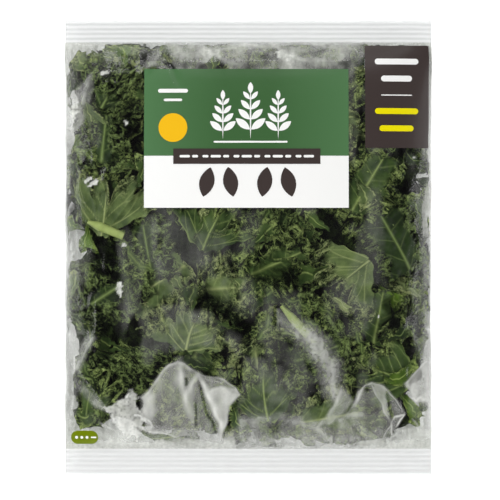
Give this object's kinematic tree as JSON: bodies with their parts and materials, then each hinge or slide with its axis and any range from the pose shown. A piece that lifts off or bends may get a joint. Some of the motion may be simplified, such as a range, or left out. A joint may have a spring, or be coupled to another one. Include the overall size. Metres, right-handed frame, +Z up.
{
  "type": "bag of cut curly kale",
  "caption": "Sealed see-through pillow bag filled with cut curly kale, ribbed end seals, back fin seal and plain printed panels, lying on its back.",
  "frame": {"origin": "middle of the bag's footprint, on the surface that it lies on", "axes": "+Z up and out of the printed front, +Y along the bag to its top seal, +X to the right seen from the front"},
  "size_m": [0.32, 0.396, 0.0669],
  "materials": {
    "film": "clear glossy oriented polypropylene film, faintly hazed inside",
    "ink_green": "mid green ink under glossy film",
    "ink_white": "white ink under glossy film",
    "ink_dark": "warm near-black ink under glossy film",
    "ink_yellow": "golden yellow ink under glossy film",
    "ink_olive": "olive green ink under glossy film",
    "leaf_dark": "dark green waxy kale blade with a frilled edge",
    "leaf_mid": "mid green waxy kale blade with a frilled edge",
    "leaf_light": "light green waxy kale blade with pale veins",
    "stalk": "pale yellow-green cut kale stalk"
  },
  "bodies": {
    "root": {"film_bag": "film", "print_badge": "ink_yellow", "print_band": "ink_dark", "print_corner_panel": "ink_dark", "print_lower_panel": "ink_white", "print_pill": "ink_olive", "print_upper_panel": "ink_green", "kale_leaf_03": "leaf_light", "kale_leaf_04": "leaf_mid", "kale_leaf_05": "leaf_light", "kale_leaf_06": "leaf_light", "kale_leaf_07": "leaf_mid", "kale_leaf_08": "leaf_mid", "kale_leaf_09": "leaf_mid", "kale_leaf_10": "leaf_dark", "kale_leaf_11": "leaf_dark", "kale_leaf_12": "leaf_dark", "kale_leaf_13": "leaf_mid", "kale_leaf_14": "leaf_mid", "kale_leaf_15": "leaf_dark", "kale_leaf_16": "leaf_light", "kale_leaf_17": "leaf_light", "kale_leaf_18": "leaf_dark", "kale_leaf_19": "leaf_dark", "kale_leaf_20": "leaf_mid", "kale_leaf_21": "leaf_dark", "kale_leaf_22": "leaf_mid", "kale_leaf_23": "leaf_light", "kale_leaf_24": "leaf_mid", "kale_leaf_25": "leaf_light", "kale_leaf_26": "leaf_light", "kale_leaf_27": "leaf_dark", "kale_leaf_28": "leaf_dark", "kale_leaf_29": "leaf_mid", "kale_leaf_30": "leaf_mid", "kale_leaf_31": "leaf_dark", "kale_leaf_32": "leaf_mid", "kale_leaf_33": "leaf_mid", "kale_leaf_34": "leaf_light", "kale_leaf_35": "leaf_dark", "kale_leaf_36": "leaf_mid", "kale_leaf_37": "leaf_mid", "kale_leaf_38": "leaf_dark", "kale_leaf_39": "leaf_dark", "kale_leaf_40": "leaf_mid", "kale_leaf_41": "leaf_mid", "kale_leaf_42": "leaf_mid", "kale_leaf_43": "leaf_light", "kale_leaf_44": "leaf_dark", "kale_leaf_45": "leaf_mid", "kale_leaf_46": "leaf_mid", "kale_leaf_47": "leaf_mid", "kale_leaf_48": "leaf_mid", "kale_leaf_49": "leaf_light", "kale_leaf_50": "leaf_mid", "kale_leaf_51": "leaf_dark", "kale_leaf_52": "leaf_dark", "kale_stalk_01": "stalk", "kale_stalk_02": "stalk"}
  },
  "joints": []
}
